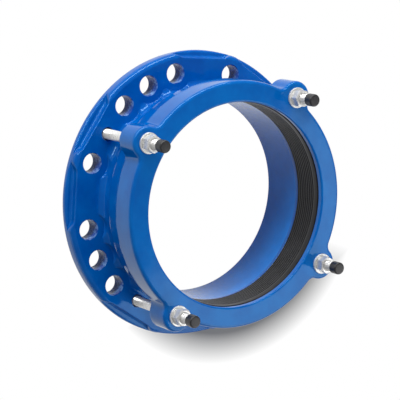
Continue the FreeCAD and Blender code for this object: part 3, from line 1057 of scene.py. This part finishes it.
@dataclass
class GlandCasting:
    """The gland ring: a deep ring with four lugs, a skirt, a pocket and a lip."""

    drilling: Drilling
    back: float = 76.0
    front: float = 110.0
    ring: float = 143.0
    lug: float = 19.0
    blend: float = 10.0         # arc between a lug and the ring
    edge: float = 3.8           # rounding of the outside
    edge_steps: int = 6
    lug_points: int = 33
    blend_points: int = 13
    ring_points: int = 46       # between two lugs
    lip: float = 118.5
    lip_back: float = 103.0
    lip_round: float = 2.0
    pocket: float = 130.6
    pocket_back: float = 94.0
    skirt: float = 135.6
    skirt_round: float = 0.8
    outer_round: float = 0.6    # corners of the inside that stand out
    inner_round: float = 0.8    # corners of the inside that lie in
    inside_steps: int = 5
    hole: float = 6.5
    hole_round: float = 0.5
    hole_steps: int = 3

    def outline(self) -> tuple[np.ndarray, np.ndarray]:
        """The ring's outside seen along the axis: the ring circle, the lugs and their blends.

        Formula: a blend's centre lies ring plus blend from the axis and lug plus blend from the
        lug's own centre, so its arc touches both circles.

        Returns:
            Points as x and y, and the outward unit normal at each.
        """
        centre = self.drilling.clamp_circle
        far, near = self.ring + self.blend, self.lug + self.blend
        swing = math.acos((far ** 2 + centre ** 2 - near ** 2) / (2.0 * far * centre))
        hub = np.array([far * math.cos(swing), far * math.sin(swing)])
        lug_turn = math.atan2(hub[1], hub[0] - centre)
        lug = directions(np.linspace(-lug_turn, lug_turn, self.lug_points))
        inner = math.atan2(-math.sin(swing), -math.cos(swing))
        inner = inner + math.tau if inner < 0.0 else inner
        arc = directions(np.linspace(lug_turn + math.pi, inner, self.blend_points)[1:])
        degrees = math.degrees(swing)
        between = np.linspace(degrees, QUARTER_TURN - degrees, self.ring_points)[1:-1]
        plain = directions(np.radians(between))
        flip = np.array([1.0, -1.0])
        mirrored = (hub + self.blend * arc)[::-1] * flip
        points = np.concatenate([mirrored, np.array([centre, 0.0]) + self.lug * lug,
                                 hub + self.blend * arc, self.ring * plain])
        normals = np.concatenate([-arc[::-1] * flip, lug, -arc, plain])
        loops, outward = [], []
        for turn in self.drilling.clamp_turns:
            c, s = math.cos(math.radians(turn)), math.sin(math.radians(turn))
            spin = np.array([[c, s], [-s, c]])
            loops.append(points @ spin)
            outward.append(normals @ spin)
        return np.concatenate(loops), np.concatenate(outward)

    def outside(self) -> np.ndarray:
        """The ring's outer wall with both its edges.

        Formula: the outline moved inwards along its normals by the rounding of each edge.

        Returns:
            Array of rows, columns and x, y, z.
        """
        points, normals = self.outline()
        along, rise = quarter_round(self.edge_steps)
        inset = self.edge * (1.0 - along)
        inset = np.concatenate([inset, inset[::-1]])
        heights = np.concatenate([self.front - self.edge * rise, (self.back + self.edge * rise)[::-1]])
        flat = points[None] - normals[None] * inset[:, None, None]
        tall = np.broadcast_to(heights[:, None, None], (*flat.shape[:2], 1))
        return np.concatenate([flat, tall], axis=2)

    def build(self) -> bpy.types.Object:
        """Builds the ring as one closed surface.

        Returns:
            The dressed object.
        """
        surface = Surface("gland_casting")
        outside = self.outside()
        surface.grid(outside)
        profile = rounded([
            (self.lip + RUN_ON, self.front, 0.0),
            (self.lip, self.front, self.lip_round),
            (self.lip, self.lip_back, self.outer_round),
            (self.pocket, self.lip_back, self.inner_round),
            (self.pocket, self.pocket_back, self.outer_round),
            (self.skirt, self.pocket_back, self.inner_round),
            (self.skirt, self.back, self.skirt_round),
            (self.skirt + RUN_ON, self.back, 0.0),
        ], self.inside_steps)[1:-1]
        inside = turned(profile[:, 0], profile[:, 1], evenly(Columns.RING))
        surface.grid(inside)
        loops = [(outside[0, :, :2], outside[-1, :, :2]), (inside[0, :, :2], inside[-1, :, :2])]
        hole = Hole(self.hole, self.hole_round, self.hole_steps, Columns.LUG_HOLE,
                    self.front, self.back)
        for centre in self.drilling.centres(self.drilling.clamp_circle, self.drilling.clamp_turns):
            loops.append(hole.wall(surface, centre))
        surface.fill([front for front, _ in loops], self.front)
        surface.fill([back for _, back in loops], self.back)
        piece = surface.build()
        weigh_normals(piece)
        dress(piece, "gland", "gland_ring", [
            Epoxy("epoxy_on_ring").material(),
            epoxy_with_painted_glints("epoxy_in_lugs_painted_glints").material(),
        ])
        return piece


@dataclass
class Gasket:
    """The rubber wedge between the bell's seat and the ring's lip, grooved round its bore."""

    nose: float = 62.3
    nose_round: float = 0.6
    heel: float = 102.7
    heel_round: float = 1.2
    bore: float = 117.7
    seat: float = 120.2
    mouth: float = 129.7
    mouth_round: float = 1.5
    shoulder: float = 84.3
    shoulder_round: float = 1.0
    seams: Pair = (1.2, 2.0)        # above the nose and above the last groove, in the plain bore
    groove_start: float = 1.8
    groove_pitch: float = 3.6
    groove_width: float = 1.8
    groove_depth: float = 1.0
    groove_points: int = 9
    grooves: int = 9
    squeezed: float = 0.802         # share of its height that is left when the gland is down

    def bore_line(self) -> tuple[np.ndarray, np.ndarray]:
        """Radii and heights up the bore.

        Formula: the bore's radius plus, in each groove, its depth times the square of the sine
        of half a turn times how far through the groove the height is.

        Returns:
            Radii and heights from nose to heel.
        """
        share = np.linspace(0.0, 1.0, self.groove_points)
        starts = self.nose + self.groove_start + self.groove_pitch * np.arange(self.grooves)
        heights = (starts[:, None] + share[None] * self.groove_width).reshape(-1)
        dips = np.tile(self.groove_depth * np.sin(math.pi * share) ** 2, self.grooves)
        return self.bore + dips, heights

    def build(self) -> bpy.types.Object:
        """Builds the gasket as one closed ring.

        Returns:
            The dressed object.
        """
        surface = Surface("gasket_ring")
        radii, heights = self.bore_line()
        low_seam, high_seam = self.seams
        outer = rounded([
            (self.bore, heights[-1] + high_seam, 0.0),
            (self.bore, self.heel, self.heel_round),
            (self.mouth, self.heel, self.mouth_round),
            (self.mouth, self.shoulder, self.shoulder_round),
            (self.seat, self.nose, self.nose_round),
            (self.bore, self.nose, self.nose_round),
            (self.bore, self.nose + low_seam, 0.0),
        ])
        line_r = np.concatenate([radii, outer[:, 0], radii[:1]])
        line_z = np.concatenate([heights, outer[:, 1], heights[:1]])
        surface.grid(turned(line_r, line_z, evenly(Columns.RING)))
        piece = surface.build()
        dress(piece, "adaptor_body", "gasket", [Rubber().material()])
        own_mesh(piece)
        return piece


@dataclass
class ClampSet:
    """One clamp bolt with its washer, nut and thread cap."""

    number: int
    turn: float
    centre: Pair
    plated: Sequence[bpy.types.Material]
    capped: Sequence[bpy.types.Material]

    across: float = 18.0            # width of the nut and of the bolt's head
    corner_ease: float = 0.12
    corner_blend: float = 0.35
    bevel: float = 0.45
    bevel_angle: float = 30.0
    bevel_ease: Pair = (0.1, 0.15)  # how far the bevel's edge is eased on the cone and on the flat

    head_bottom: float = 1.5
    head_top: float = 9.0
    shank: float = 6.0
    pitch: float = 1.75
    thread_depth: float = 1.0
    thread_cut: tuple[float, ...] = (0.0, 0.0, 0.5, 1.0, 1.0, 1.0, 0.5, 0.0)   # depth over a pitch
    thread_from: float = 92.0
    thread_fade: Pair = (2.5, 0.8)  # lengths over which the groove fades in and out
    tip: float = 144.0
    tip_bevel: float = 1.2

    washer_bottom: float = 110.0
    washer_top: float = 112.5
    washer_seam: float = 1.0        # above the washer's bottom, where its profile closes
    washer_bore: float = 6.5
    washer_bore_round: float = 0.3
    washer_rim: float = 12.0
    washer_rim_round: float = 0.7
    washer_back_round: float = 0.4

    nut_top: float = 123.3
    nut_bore: float = 6.05
    countersink: float = 0.8

    cap_bottom: float = 135.0
    cap_top: float = 146.0
    cap_radius: float = 7.2
    cap_round: float = 2.0
    cap_end: float = 2.0
    cap_edge: float = 0.3
    cap_steps: int = 5
    bead_rise: Triple = (1.9, 1.65, 1.4)    # top, middle and bottom of the groove above the bead
    bead_depth: float = 0.2

    def prism(self, bottom: float, top: float, bevel_low: bool,
              bevel_high: bool) -> tuple[np.ndarray, np.ndarray, np.ndarray]:
        """The six-sided outside of a nut or a bolt head, from its lower face to its upper.

        Formula: a cone from a circle inside the flats cuts each corner, so the height of its
        edge falls by the tangent of the cone's angle times how far the hexagon stands out.

        Args:
            bottom: Height of the lower face.
            top: Height of the upper face.
            bevel_low: Whether the lower corners are bevelled.
            bevel_high: Whether the upper corners are bevelled.

        Returns:
            Radii and heights of each row and column, and the column angles.
        """
        columns = evenly(Columns.HEXAGON)
        half = self.across / 2.0
        flats = hexagon(columns, half, self.turn, self.corner_ease, self.corner_blend)
        land = half - self.bevel
        drop = (flats - land) * math.tan(math.radians(self.bevel_angle))
        full = np.full(columns.shape, 1.0)
        cone, flat = self.bevel_ease
        rows = [(full * land if bevel_low else flats, full * bottom)]
        if bevel_low:
            rows.append((flats - cone, bottom + drop - cone))
            rows.append((flats, bottom + drop + flat))
        if bevel_high:
            rows.append((flats, top - drop - flat))
            rows.append((flats - cone, top - drop + cone))
        rows.append((full * land if bevel_high else flats, full * top))
        return np.stack([row[0] for row in rows]), np.stack([row[1] for row in rows]), columns

    def thread(self, surface: Surface, bottom: float, top: float) -> None:
        """Adds the threaded part of the bolt.

        Formula: rows follow the helix, so the height is the pitch times the row over the rows of
        a pitch plus the share of a turn; the radius goes down and up once a pitch like a
        trapezium, and the groove fades out at both ends.

        Args:
            surface: Where the patch goes.
            bottom: Height where the thread starts.
            top: Height where it ends.
        """
        columns = np.linspace(0.0, FULL_TURN, Columns.SHANK + 1)
        cut = np.array(self.thread_cut)
        turns = int((top - bottom) / self.pitch) + 2
        rows = np.arange(-len(cut), len(cut) * turns)
        height = bottom + self.pitch * (rows[:, None] / len(cut) + columns[None, :] / FULL_TURN)
        height = np.clip(height, bottom, top)
        start, end = self.thread_fade
        fade = smooth_step(bottom, bottom + start, height) * (1.0 - smooth_step(top - end, top, height))
        radius = self.shank - self.thread_depth * cut[rows % len(cut)][:, None] * fade
        surface.grid(turned(radius, height, columns, self.centre), wrap=False)

    def build_bolt(self) -> bpy.types.Object:
        """Builds the bolt: head, plain shank, thread and bevelled tip.

        Returns:
            The dressed object.
        """
        surface = Surface(f"clamp_stud_{self.number}")
        radii, heights, columns = self.prism(self.head_bottom, self.head_top,
                                             bevel_low=True, bevel_high=False)
        head = turned(radii, heights, columns, self.centre)
        surface.grid(head, shade=Shade.FLAT)
        surface.fill([head[0, :, :2]], self.head_bottom)
        surface.fill([head[-1, :, :2], circle(self.shank, Columns.SHANK, self.centre)], self.head_top)
        around = evenly(Columns.SHANK)
        end, point = self.tip - self.tip_bevel, self.shank - self.tip_bevel
        plain = turned(np.array([self.shank, self.shank]),
                       np.array([self.head_top, self.thread_from]), around, self.centre)
        cone = turned(np.array([self.shank, point]), np.array([end, self.tip]), around, self.centre)
        surface.grid(plain)
        self.thread(surface, self.thread_from, end)
        surface.grid(cone, shade=Shade.FLAT)
        surface.fill([circle(point, Columns.SHANK, self.centre)], self.tip)
        piece = surface.build()
        dress(piece, "adaptor_body", f"clamp_bolt_{self.number}", self.plated)
        return piece

    def build_washer(self) -> bpy.types.Object:
        """Builds the washer with rounded rims.

        Returns:
            The dressed object.
        """
        surface = Surface(f"plain_washer_{self.number}")
        seam = (self.washer_bore, self.washer_bottom + self.washer_seam, 0.0)
        line = rounded([
            seam,
            (self.washer_bore, self.washer_top, self.washer_bore_round),
            (self.washer_rim, self.washer_top, self.washer_rim_round),
            (self.washer_rim, self.washer_bottom, self.washer_back_round),
            (self.washer_bore, self.washer_bottom, self.washer_bore_round),
            seam,
        ])
        surface.grid(turned(line[:, 0], line[:, 1], evenly(Columns.SMALL_RING), self.centre))
        piece = surface.build()
        weigh_normals(piece)
        dress(piece, "gland", f"washer_{self.number}", self.plated)
        return piece

    def build_nut(self) -> bpy.types.Object:
        """Builds the nut: bevelled hexagon with a countersunk thread.

        Returns:
            The dressed object.
        """
        surface = Surface(f"hex_nut_{self.number}")
        radii, heights, columns = self.prism(self.washer_top, self.nut_top,
                                             bevel_low=True, bevel_high=True)
        outside = turned(radii, heights, columns, self.centre)
        surface.grid(outside, shade=Shade.FLAT)
        wide = self.nut_bore + self.countersink
        bore = turned(np.array([wide, self.nut_bore, self.nut_bore, wide]),
                      np.array([self.nut_top, self.nut_top - self.countersink,
                                self.washer_top + self.countersink, self.washer_top]),
                      evenly(Columns.LUG_HOLE), self.centre)
        surface.grid(bore)
        surface.fill([outside[-1, :, :2], bore[0, :, :2]], self.nut_top)
        surface.fill([outside[0, :, :2], bore[-1, :, :2]], self.washer_top)
        piece = surface.build()
        dress(piece, f"nut_{self.number}", f"nut_{self.number}", self.plated)
        return piece

    def build_cap(self) -> bpy.types.Object:
        """Builds the push-on cap: a thin-walled cup with a rounded end and a bead at its mouth.

        Returns:
            The dressed object.
        """
        surface = Surface(f"push_cap_{self.number}")
        above, middle, below = (self.cap_bottom + rise for rise in self.bead_rise)
        floor = self.cap_top - self.cap_end
        line = rounded([
            (0.0, self.cap_top, 0.0),
            (self.cap_radius, self.cap_top, self.cap_round),
            (self.cap_radius, above, self.cap_edge),
            (self.cap_radius - self.bead_depth, middle, self.bead_depth),
            (self.cap_radius, below, self.cap_edge),
            (self.cap_radius, self.cap_bottom, self.cap_edge),
            (self.nut_bore, self.cap_bottom, self.cap_edge),
            (self.nut_bore, floor, self.cap_edge),
            (0.0, floor, 0.0),
        ], self.cap_steps)
        surface.grid(turned(line[:, 0], line[:, 1], evenly(Columns.SMALL_RING), self.centre))
        piece = surface.build()
        weigh_normals(piece)
        dress(piece, f"thread_cap_{self.number}", f"thread_cap_{self.number}", self.capped)
        return piece

    def build(self) -> list[bpy.types.Object]:
        """Builds the four pieces of the set."""
        return [self.build_bolt(), self.build_washer(), self.build_nut(), self.build_cap()]


# The studio

@dataclass
class Studio:
    """Camera, floor, surroundings and lamps.

    The paper of the floor is plain white to the eye, but for a zone beside the object that shows
    the light falling on it, and with it the object's shadow, which a dark grey paper colour there
    deepens as painted shade.
    """

    eye: Triple = (0.55333, 1.03800, 1.78012)
    right: Triple = (-0.15786, -0.82671, 0.54002)
    up: Triple = (0.95134, -0.27389, -0.14119)
    back: Triple = (0.26463, 0.49146, 0.82972)
    lens: float = 161.25
    sensor: float = 36.0
    clip: Pair = (0.05, 200.0)
    floor_half: float = 30.0
    paper: Pair = (0.94, 0.34)              # how light the paper is under the object and outside it; the dark grey outside is painted shade
    paper_rough: float = 0.9
    paper_shine: float = 0.1
    white_inside: Pair = (0.166, 0.173)     # distances from the axis where plain white fades out
    shade_shift: Triple = (0.03, 0.055, 0.0)        # from the middle of the shade's zone to the axis
    white_outside: Pair = (0.160, 0.198)    # distances from that middle where plain white fades in
    shade_towards: Triple = (-0.986, -0.165, 0.0)   # the side on which the shade lies
    shade_from: Pair = (0.66, 0.84)         # cosines of the angle to that side where it fades in
    surroundings: float = 0.28
    key_place: Triple = (1.42, 0.14, 0.58)
    key_size: Pair = (2.6, 0.40)
    key_watts: float = 35.0
    front_place: Triple = (-1.75, -1.15, 1.80)
    front_size: Pair = (2.3, 2.0)
    front_watts: float = 38.0

    @staticmethod
    def pose(place: Sequence[float], right: Sequence[float], up: Sequence[float],
             back: Sequence[float]) -> Matrix:
        """A matrix for a camera or a lamp.

        Args:
            place: Where it stands.
            right: Unit vector to its right.
            up: Unit vector upwards from it.
            back: Unit vector away from where it looks.

        Returns:
            The matrix, whose columns are the three directions and the place.
        """
        return Matrix([(*right, 0.0), (*up, 0.0), (*back, 0.0), (*place, 1.0)]).transposed()

    def camera(self) -> None:
        """Stands the camera where the photograph was taken from."""
        data = bpy.data.cameras.new("camera")
        data.lens, data.sensor_width = self.lens, self.sensor
        data.clip_start, data.clip_end = self.clip
        camera = bpy.data.objects.new("camera", data)
        camera.matrix_world = self.pose(self.eye, self.right, self.up, self.back)
        bpy.context.scene.collection.objects.link(camera)
        bpy.context.scene.camera = camera

    def floor_finish(self) -> bpy.types.Material:
        """Builds the floor's material.

        Formula: the shade's zone lies outside one circle, inside a second whose middle is moved
        towards the shade, and within an angle of the side on which the shade lies; each limit is
        a ramp, and the whitest of the three counts.

        Returns:
            The material: paper that camera, glossy and transmission rays see as plain white
            outside the zone, and that is lit as any paper inside it and for all other rays; outside
            the flange its colour is a dark grey, painted shade that deepens the shadow.
        """
        sheet = Sheet("studio_floor")
        reach = sheet.measure("LENGTH", sheet.place).outputs["Value"]
        under = sheet.ramp(reach, self.white_inside, (1.0, 0.0))
        moved = sheet.measure("ADD", sheet.place, self.shade_shift).outputs["Vector"]
        beyond = sheet.ramp(sheet.measure("LENGTH", moved).outputs["Value"], self.white_outside)
        along = sheet.measure("DOT_PRODUCT", sheet.place, self.shade_towards).outputs["Value"]
        aside = sheet.ramp(sheet.work_out("DIVIDE", along, reach), self.shade_from, (1.0, 0.0))
        plain = sheet.work_out("MAXIMUM", sheet.work_out("MAXIMUM", under, beyond), aside)
        path = sheet.add("LightPath").outputs
        seen = sheet.work_out("ADD", path["Is Camera Ray"], path["Is Glossy Ray"])
        seen = sheet.work_out("ADD", seen, path["Is Transmission Ray"])
        share = sheet.work_out("MULTIPLY", sheet.work_out("MINIMUM", seen, 1.0), plain)
        # Dark grey paper outside the flange: painted shade that deepens the object's shadow
        paper = sheet.add("BsdfPrincipled", {
            "Base Color": sheet.ramp(reach, self.white_inside, self.paper),
            "Roughness": self.paper_rough, "Specular IOR Level": self.paper_shine})
        white = sheet.add("Emission", {"Color": WHITE, "Strength": 1.0})
        both = sheet.add("MixShader", {0: share, 1: paper.outputs[0], 2: white.outputs[0]})
        sheet.tree.links.new(both.outputs[0], sheet.output.inputs["Surface"])
        return sheet.material

    def floor(self) -> None:
        """Lays the floor under the object."""
        half = self.floor_half
        mesh = bpy.data.meshes.new("floor")
        corners = [(-half, -half, 0.0), (half, -half, 0.0), (half, half, 0.0), (-half, half, 0.0)]
        mesh.from_pydata(corners, [], [(0, 1, 2, 3)])
        floor = bpy.data.objects.new("floor", mesh)
        mesh.materials.append(self.floor_finish())
        bpy.context.scene.collection.objects.link(floor)

    def soft_box(self, name: str, place: Triple, size: Pair, watts: float) -> None:
        """Hangs a rectangular soft box, aimed at the origin and level across.

        Args:
            name: The lamp's name.
            place: Where it hangs.
            size: Its width and height.
            watts: Its power.
        """
        data = bpy.data.lights.new(name, "AREA")
        data.shape, data.size, data.size_y, data.energy = "RECTANGLE", *size, watts
        back = np.array(place, float) / np.linalg.norm(place)
        right = np.cross([0.0, 0.0, 1.0], back)
        right = right / np.linalg.norm(right)
        lamp = bpy.data.objects.new(name, data)
        lamp.matrix_world = self.pose(place, right, np.cross(back, right), back)
        bpy.context.scene.collection.objects.link(lamp)

    def lights(self) -> None:
        """Sets the dim surroundings, the long soft box beside the object and the broad one."""
        world = bpy.data.worlds.new("surroundings")
        bpy.context.scene.world = world
        world.use_nodes = True
        background = world.node_tree.nodes["Background"].inputs
        background["Color"].default_value = WHITE
        background["Strength"].default_value = self.surroundings
        self.soft_box("key", self.key_place, self.key_size, self.key_watts)
        self.soft_box("front", self.front_place, self.front_size, self.front_watts)

    def build(self) -> None:
        """Sets the whole studio."""
        bpy.context.scene.view_settings.view_transform = "Standard"
        self.camera()
        self.floor()
        self.lights()


def main() -> None:
    """Builds the object's pieces in order, then the studio."""
    logging.basicConfig(level=logging.INFO, format="%(name)s %(message)s")
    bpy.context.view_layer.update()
    drilling = Drilling()
    pieces = [FlangeCasting(drilling).build(), GlandCasting(drilling).build(), Gasket().build()]
    plated = [Zinc("zinc_plating").material()]
    capped = [Plastic().material()]
    centres = drilling.centres(drilling.clamp_circle, drilling.clamp_turns)
    for number, (turn, centre) in enumerate(zip(drilling.clamp_turns, centres), 1):
        pieces += ClampSet(number, turn, centre, plated, capped).build()
    for piece in pieces:
        log.info("%s: %d faces", piece.name, len(piece.data.polygons))
    Studio().build()


if __name__ == "__main__":
    main()
